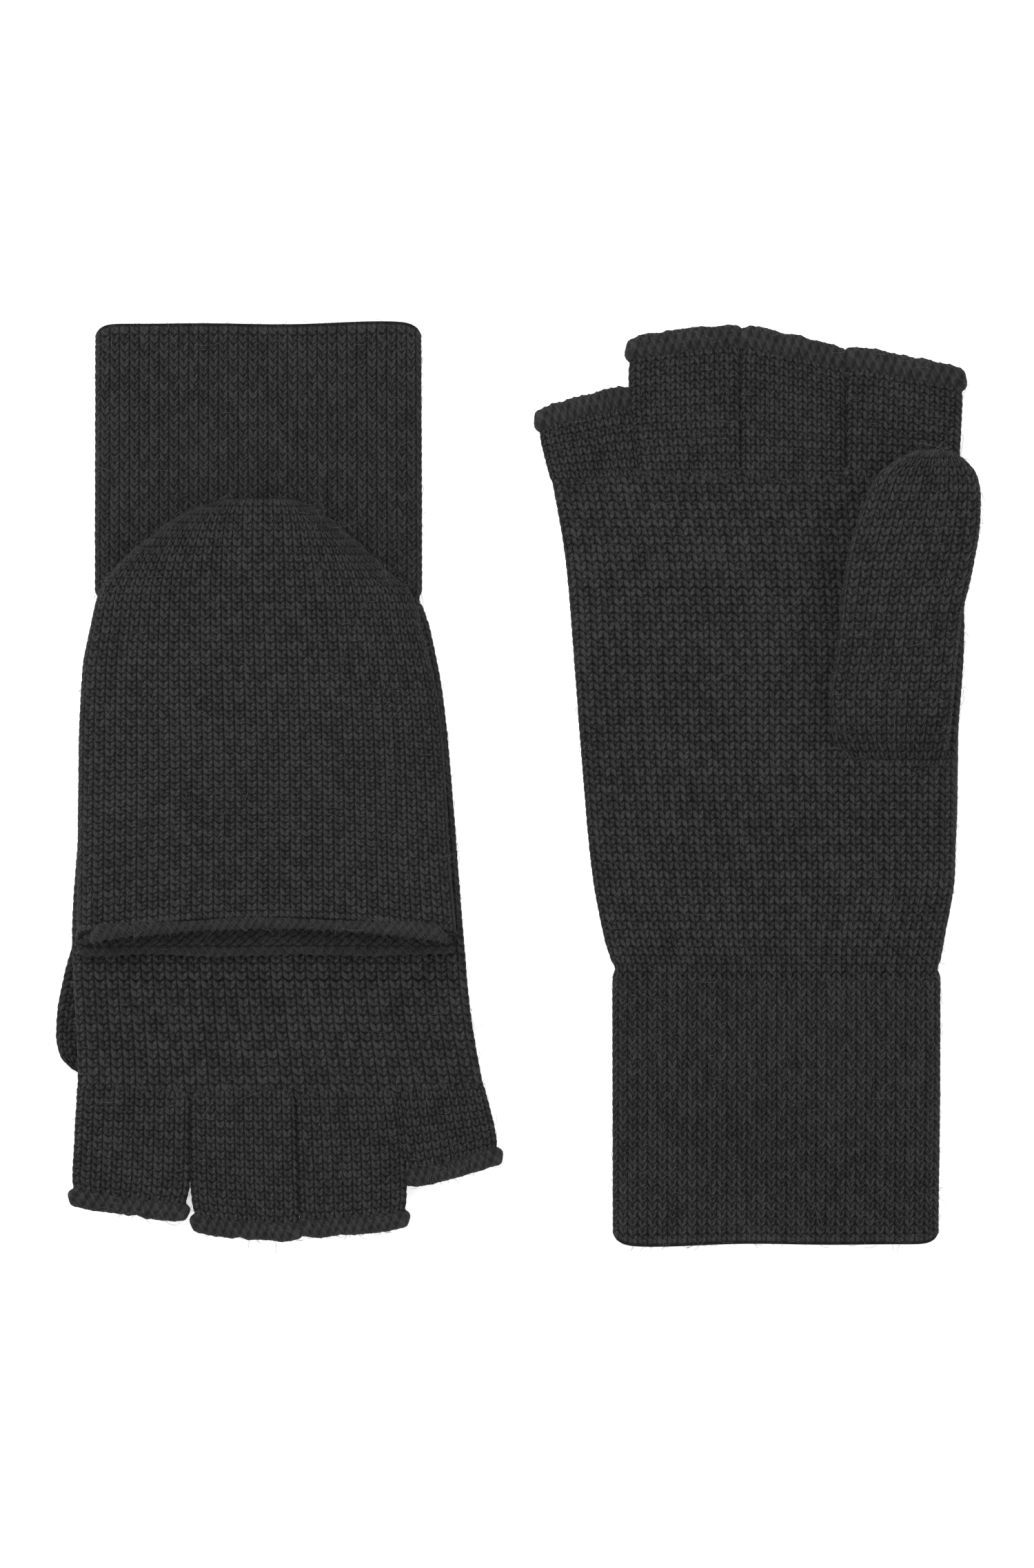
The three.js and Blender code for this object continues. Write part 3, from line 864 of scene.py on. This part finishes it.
# the cap is one tube, closed at its crown. Its wales stay straight and crowd into the fold round the crown.
# Its back layer runs to the seam, and its palm layer stops at the hem
def capPiece(side):
    crown, half, middle = glove["crownAt"], capKnit["half"], glove["capMiddle"]
    toPalm = -1 if side["palmUp"] else 1
    base = tube + glove["capGap"]

    def at(f, v, inset):
        f = f % 1
        top = f <= 0.5
        thick = capThickness(v) - 2 * skin
        fold = glove["foldShare"] * thick
        x, _ = halfRound(np.where(top, 2 * f, 2 * (1 - f)), half, fold)
        q = np.clip(np.abs(x) / half, 0, 1)
        reachLow = middle - capLittle(v - inset) - skin
        reachHigh = capThumb(v - inset) - middle - skin
        reach = np.where(x < 0, reachLow, reachHigh)
        spread = reach * (1 - (1 - q) ** np.maximum(half / reach, 1))
        edge = reach - spread
        inner = np.maximum(reach - inset, capKnit["narrowest"])
        x = np.sign(x) * np.minimum(spread * inner / reach, inner)
        bend = np.clip(1 - edge / fold, 0, 1)
        y = (fold - inset) * np.sqrt(1 - bend * bend)
        dome = (thick - 2 * fold) * (1 - (spread / reach) ** glove["domePower"]) * y / (fold - inset)
        up = fold + np.where(top, y + dome, -y)
        tip = np.clip((v - crown - inset) / capKnit["crownRound"], 0, 1)
        up = fold + (up - fold) * np.sqrt(1 - (1 - tip) ** 2)
        u = middle + x

        palmSide = smooth(0.5 + (up - fold) / thick * toPalm * 2)
        end = mix(capKnit["mouth"], mouthArch(u) - capKnit["behindHem"], palmSide)
        bent = smooth((v - capKnit["archFrom"]) / capKnit["archOver"])
        length = crown + (v - crown) * mix(1, (end - crown) / (capKnit["mouth"] - crown), bent)
        if side["palmUp"]:
            return side["lay"](u, length, base + capThickness(v) - (up + skin))
        acrossScale, alongScale = capKnit["waveScale"]
        waved = wave("cap", u * acrossScale, v * alongScale + capKnit["waveFrom"], f) * tip
        return side["lay"](u, length, base + (up + skin) + waved)

    return at


# stitches crowded into the fold round the crown lie flatter
def capCrowding(f, v):
    f, half, middle = f % 1, capKnit["half"], glove["capMiddle"]
    x, _ = halfRound(np.where(f <= 0.5, 2 * f, 2 * (1 - f)), half, capKnit["crowdFold"])
    reach = np.where(x < 0, middle - capLittle(v), capThumb(v) - middle)
    q = np.clip(np.abs(x) / half, 0, 0.999)
    return np.clip(capKnit["crowding"] * (1 - q) ** np.maximum(half / reach - 1, 0), capKnit["crowded"], 1)


def makeCap(name, side):
    knit = {key: capKnit[key] for key in ("courses", "wales", "purlRows", "layer")}
    knit.update({"start": glove["crownAt"], "end": capKnit["mouth"], "ends": ("closed", "open"),
                 "point": side["point"], "squeezed": capCrowding, "seed": side["seed"] + seeds["cap"]})
    return knitTube(f"{name}_cap_knit", capPiece(side), knit, plainPurl)


hem = {
    "across": 2.15,
    "through": 1.45,
    "wales": 44,
    "courses": 4,
    "hills": 0.5,
    "steps": 340,
    "length": 96,
    "seed": 91,
    "from": -49.0,
    "to": 46.2,
    "curlFrom": 43.5,  # beyond this its ends curl towards the seam
    "curl": 0.09,
    "fallFrom": 41.5,  # and beyond this they fall to the cap's back layer
    "fallOver": 5,
    "fallen": 1.7,
    "sunk": 0.1,
    "waveAt": 20,
}


def makeHem(name, side):
    base = tube + glove["capGap"]

    def line(share):
        u = mix(hem["from"], hem["to"], share)
        fromMiddle = np.abs(u - glove["capMiddle"])
        beside = np.clip(fromMiddle - hem["curlFrom"], 0, None)
        v = mouthArch(u) + hem["curl"] * beside * beside
        atEdge = smooth((fromMiddle - hem["fallFrom"]) / hem["fallOver"])
        high = base + capThickness(v) - hem["through"]
        low = base + hem["fallen"] + hem["through"]
        sag = 0 if side["palmUp"] else waves["hem"] * uneven(u, hem["waveAt"])
        return side["lay"](u, v, mix(high, low, atEdge) - hem["sunk"] - sag)

    return rolledRope(f"{name}_cap_hem_rope", line, hem, [materials["ropeWool"]])


seam = {
    "across": 1.7,
    "through": 0.8,
    "wales": 38,
    "courses": 3,
    "hills": 0.36,
    "steps": 320,
    "length": 96,
    "seed": 92,
    "from": -49.0,
    "to": 46.0,
    "above": 0.35,
    "wave": 0.25,
    "waveLength": 6,
}


def makeSeam(name, side):
    def line(share):
        u = mix(seam["from"], seam["to"], share)
        v = glove["seamAt"] + seam["wave"] * np.sin(u / seam["waveLength"])
        return side["lay"](u, v, tube + seam["above"] + seam["through"])

    return rolledRope(f"{name}_cap_seam_rope", line, seam, [materials["ropeWool"]])


# loose fibres that stand off the knitting: mostly short, now and then a long curled one
fuzzing = {
    "thickness": 0.035,
    "short": (0.8, 2.6),
    "long": (3.5, 8.0),
    "longShare": 0.03,
    "points": 5,
    "facing": -0.25,  # none grow on stitches that face further down than this
    "lift": (0.25, 1.1),  # how steeply a fibre stands, from lying to upright
    "curl": 0.55,
    "falling": 0.75,
    "offTable": 0.1,
    "counts": {"left": {"hand": 1700, "finger": 1300, "cap": 1500, "thumb": 200},
               "right": {"hand": 2100, "finger": 1500, "cap": 250, "thumb": 550}},
}


def vertexValues(pieces, attribute, key):
    found = []
    for piece in pieces:
        values = np.empty(len(piece.data.vertices) * 3)
        getattr(piece.data, attribute).foreach_get(key, values)
        found.append(values.reshape(-1, 3))
    return np.concatenate(found)


def makeFuzz(name, pieces, count, seed):
    rng = np.random.default_rng(seed)
    places, normals = vertexValues(pieces, "vertices", "co"), vertexValues(pieces, "vertex_normals", "vector")
    facing = np.flatnonzero(normals[:, 2] > fuzzing["facing"])
    chosen = facing[rng.integers(len(facing), size=count)]
    start, normal = places[chosen] / millimetre, normals[chosen]
    sideways = rng.normal(size=(count, 3))
    sideways -= normal * (sideways * normal).sum(1, keepdims=True)
    sideways /= np.linalg.norm(sideways, axis=1, keepdims=True)
    isLong = rng.uniform(size=count) < fuzzing["longShare"]
    length = np.where(isLong, rng.uniform(*fuzzing["long"], count), rng.uniform(*fuzzing["short"], count))
    lift = np.where(isLong, fuzzing["lift"][0], rng.uniform(*fuzzing["lift"], count))
    ahead = sideways + normal * lift[:, None]
    curl = np.cross(normal, sideways) * rng.normal(0, fuzzing["curl"], (count, 1))
    bend = curl - normal * lift[:, None] * fuzzing["falling"]
    curve = bpy.data.curves.new(name, "CURVE")
    curve.dimensions = "3D"
    curve.bevel_depth = fuzzing["thickness"] * millimetre
    curve.bevel_resolution = 0
    curve.use_fill_caps = True
    steps = np.linspace(0, 1, fuzzing["points"])
    for i in range(count):
        spline = curve.splines.new("POLY")
        spline.points.add(fuzzing["points"] - 1)
        reach = length[i] * steps[:, None]
        run = start[i] + ahead[i] * reach + bend[i] * reach * steps[:, None]
        run[:, 2] = np.maximum(run[:, 2], fuzzing["offTable"])
        co = np.concatenate([run * millimetre, np.ones((len(steps), 1))], 1)
        spline.points.foreach_set("co", co.astype(np.float32).ravel())
    holder = bpy.data.objects.new(name + "_line", curve)
    bpy.context.scene.collection.objects.link(holder)
    bpy.context.view_layer.update()
    mesh = bpy.data.meshes.new_from_object(holder.evaluated_get(bpy.context.evaluated_depsgraph_get()))
    bpy.data.objects.remove(holder)
    mesh.materials.clear()
    mesh.materials.append(looseFibre)
    piece = bpy.data.objects.new(name, mesh)
    bpy.context.scene.collection.objects.link(piece)
    return piece


closing = {"across": 20, "ahead": 40, "step": 10, "keep": 0.79}


# gives each of the fingers' pieces its own mesh. The points across the hand are worked out, but the fingers
# are not drawn together
def drawTogether(piece, side):
    across, along = closing["across"], glove["seamAt"] + closing["ahead"]
    middle = side["lay"](across, along, tube / 2) * millimetre
    beside = side["lay"](across + closing["step"], along, tube / 2) * millimetre
    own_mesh(piece)


following = {"axis": (0, -0.6, 0.8), "hinge": 1.7, "keep": 0.915}


# the right glove's fingers droop. This gives a piece of its cap its own mesh; the hinge is worked out, but
# the cap is not lifted
def followDroop(piece):
    hinge = layRight(0.0, glove["seamAt"], tube + following["hinge"]) * millimetre
    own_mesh(piece)


swinging = {"across": 30, "from": 122, "to": 138}


# bakes the thumb's placing into its mesh. The two points at its root are worked out, but the thumb does not
# swing out
def bendAtRoot(piece, side):
    start = side["layThumb"](swinging["across"], swinging["from"], 0) * millimetre
    end = side["layThumb"](swinging["across"], swinging["to"], 0) * millimetre
    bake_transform(piece)


def makeGlove(name, side):
    hand = makeHand(name, side)
    digits = makeFingers(name, side)
    thumb = makeThumb(name, side)
    cap = makeCap(name, side)
    hemRope, seamRope = makeHem(name, side), makeSeam(name, side)
    drawn = [hand["knuckles"], *digits.values()]
    grownOn = {"hand": [hand["cuff"], hand["hand"], seamRope], "finger": drawn, "cap": [cap, hemRope],
               "thumb": [thumb]}
    fuzz = {}
    for number, (part, pieces) in enumerate(grownOn.items()):
        seed = side["seed"] + seeds["fuzz"] + number
        fuzz[part] = makeFuzz(f"{name}_{part}_fuzz", pieces, fuzzing["counts"][name][part], seed)

    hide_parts(f"{name}_cuff")
    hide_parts(f"{name}_hand_palm", f"{name}_hand_back")
    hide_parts(f"{name}_hand_palm", f"{name}_hand_back")
    for digit, piece in digits.items():
        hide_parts(f"{name}_{digit}")
    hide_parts(f"{name}_cap_seam")
    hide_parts(f"{name}_cap_back", f"{name}_cap_palm")
    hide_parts(f"{name}_cap_hem")
    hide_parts(f"{name}_thumb")

    for piece in (*hand.values(), *digits.values(), seamRope, fuzz["hand"], fuzz["finger"]):
        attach(piece, f"{name}_glove")
    for piece in (*drawn, fuzz["finger"]):
        drawTogether(piece, side)
    for piece in (cap, hemRope, fuzz["cap"]):
        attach(piece, f"{name}_cap")
        if side["palmUp"]:
            followDroop(piece)
    for piece in (thumb, fuzz["thumb"]):
        bendAtRoot(piece, side)
    print(name, "glove made")


for gloveName, gloveSide in sides.items():
    makeGlove(gloveName, gloveSide)

studio = {
    "floorSize": 3.0,
    "floorColor": 0.92,
    "floorRoughness": 0.9,
    "floorSpecular": 0.1,
    "floorGlow": 0.45,
    "world": 0.9,
    "softbox": {"size": 0.9, "power": 9, "from": (-0.35, 0.45, 1.0)},
    "fill": {"size": 1.2, "power": 3, "from": (0.7, -0.5, 0.9)},
    "sensor": 36,
    "cameraHeight": 3.0,
    "cameraAim": 0.012,  # the height at which the view's size is measured
    "viewHeight": 0.39585,  # how much of the table the upright view spans
}


# a white table top that can't be seen from below
def makeFloor():
    mesh = bpy.data.meshes.new("table_top")
    bm = bmesh.new()
    bmesh.ops.create_grid(bm, x_segments=1, y_segments=1, size=studio["floorSize"] / 2)
    bm.to_mesh(mesh)
    bm.free()
    floor = bpy.data.objects.new("table_top", mesh)
    bpy.context.scene.collection.objects.link(floor)
    material = bpy.data.materials.new("whiteTable")
    material.use_nodes = True
    tree = material.node_tree
    shader = tree.nodes["Principled BSDF"]
    shader.inputs["Base Color"].default_value = (studio["floorColor"],) * 3 + (1,)
    shader.inputs["Roughness"].default_value = studio["floorRoughness"]
    shader.inputs["Specular IOR Level"].default_value = studio["floorSpecular"]
    shader.inputs["Emission Color"].default_value = (1, 1, 1, 1)
    shader.inputs["Emission Strength"].default_value = studio["floorGlow"]
    clear = newNode(tree, "ShaderNodeBsdfTransparent")
    fromBelow = newNode(tree, "ShaderNodeNewGeometry").outputs["Backfacing"]
    either = newNode(tree, "ShaderNodeMixShader")
    tree.links.new(fromBelow, either.inputs[0])
    tree.links.new(shader.outputs[0], either.inputs[1])
    tree.links.new(clear.outputs[0], either.inputs[2])
    tree.links.new(either.outputs[0], tree.nodes["Material Output"].inputs["Surface"])
    mesh.materials.append(material)


def makeLight(name, light):
    data = bpy.data.lights.new(name, "AREA")
    data.shape = "DISK"
    data.size = light["size"]
    data.energy = light["power"]
    lamp = bpy.data.objects.new(name, data)
    bpy.context.scene.collection.objects.link(lamp)
    lamp.location = light["from"]
    lamp.rotation_euler = (-Vector(light["from"])).to_track_quat("-Z", "Y").to_euler()


def makeStudio():
    makeFloor()
    makeLight("softbox", studio["softbox"])
    makeLight("fill", studio["fill"])
    world = bpy.data.worlds.new("studio")
    world.use_nodes = True
    world.node_tree.nodes["Background"].inputs["Color"].default_value = (1, 1, 1, 1)
    world.node_tree.nodes["Background"].inputs["Strength"].default_value = studio["world"]
    scene = bpy.context.scene
    scene.world = world
    scene.view_settings.view_transform = "Standard"
    data = bpy.data.cameras.new("camera")
    data.sensor_width = studio["sensor"]
    data.lens = data.sensor_width * (studio["cameraHeight"] - studio["cameraAim"]) / studio["viewHeight"]
    camera = bpy.data.objects.new("camera", data)
    camera.location = (0, 0, studio["cameraHeight"])
    scene.collection.objects.link(camera)
    scene.camera = camera


makeStudio()
print("studio made")
